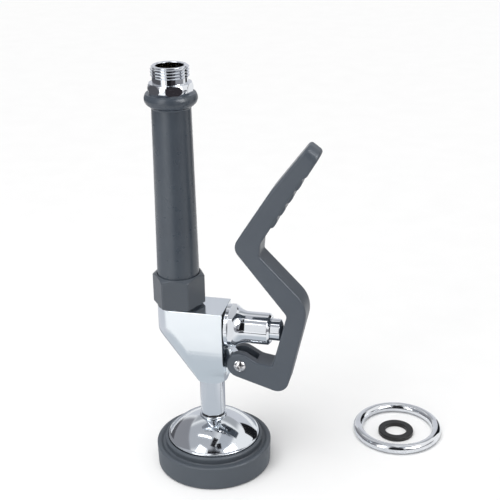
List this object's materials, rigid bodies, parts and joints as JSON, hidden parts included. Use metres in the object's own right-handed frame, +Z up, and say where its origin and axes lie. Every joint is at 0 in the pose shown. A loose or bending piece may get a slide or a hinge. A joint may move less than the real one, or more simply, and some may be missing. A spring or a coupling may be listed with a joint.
{
  "type": "pre rinse faucet",
  "caption": "Pre-rinse spray valve with a grip handle, a squeeze lever on a pivot, a bumpered spray head, and a loose hold-open ring and hose washer",
  "frame": {"origin": "centre of the spray head's opening, on the plane the bumper stands on", "axes": "+Z up along the outlet tube and parallel to the grip, +X towards the squeeze lever, +Y to the back"},
  "size_m": [0.154, 0.1039, 0.2221],
  "materials": {
    "bumper_rubber": "satin moulded rubber",
    "chrome_head": "polished plate",
    "chrome_body": "polished plate on a casting",
    "chrome_turned": "polished plate on turned brass",
    "chrome_ring": "polished wire",
    "plate_steel": "fine brushed",
    "screw_steel": "bright",
    "spring_steel": "drawn wire",
    "bare_brass": "turned",
    "seal_rubber": "matt",
    "washer_rubber": "satin",
    "lever_plastic": "fine satin",
    "grip_plastic": "satin",
    "nut_plastic": "satin"
  },
  "bodies": {
    "valve": {"bumper": "bumper_rubber", "spray_dome": "chrome_head", "spray_plate": "plate_steel", "plate_gasket": "seal_rubber", "plate_screw": "screw_steel", "outlet_tube": "chrome_turned", "tube_collar": "chrome_head", "collar_seal": "seal_rubber", "outlet_seal": "seal_rubber", "valve_body": "chrome_body", "valve_seat": "bare_brass", "bonnet": "chrome_turned", "bonnet_gasket": "seal_rubber", "stem_packing": "seal_rubber", "packing_ring": "bare_brass", "return_spring": "spring_steel", "pivot_screw": "screw_steel", "pivot_nut": "screw_steel", "grip_nut": "nut_plastic", "grip_sleeve": "grip_plastic", "supply_tube": "bare_brass", "tube_seal": "seal_rubber", "nipple_seal": "seal_rubber", "nipple_insert": "bare_brass", "inlet_nipple": "chrome_turned"},
    "plunger": {"plunger": "chrome_turned", "valve_stem": "bare_brass", "valve_disc": "seal_rubber", "disc_backing": "bare_brass", "stem_nut": "bare_brass"},
    "lever": {"lever": "lever_plastic"},
    "hold_open_ring": {"hold_open_ring": "chrome_ring"},
    "hose_washer": {"hose_washer": "washer_rubber"}
  },
  "joints": [
    {"name": "lever_squeeze", "type": "hinge", "parent": "valve", "child": "lever", "pos_m": [0.017, 0, 0.0638], "axis": [0, -1, 0], "range_deg": [0, 13], "stiffness_Nm_per_rad": 0.72, "springref_deg": -7.79},
    {"name": "plunger_slide", "type": "slide", "parent": "valve", "child": "plunger", "axis": [-1, 0, 0], "range_m": [0, 0.0052], "deforming": ["return_spring"]},
    {"name": "hold_open_ring_lift", "type": "slide", "parent": "valve", "child": "hold_open_ring", "axis": [0, 0, 1], "range_m": [0, 0.06]},
    {"name": "hose_washer_lift", "type": "slide", "parent": "valve", "child": "hose_washer", "axis": [0, 0, 1], "range_m": [0, 0.06]}
  ],
  "couplings": [
    {"joint": "plunger_slide", "follows": "lever_squeeze", "m_per_rad": 0.022}
  ]
}
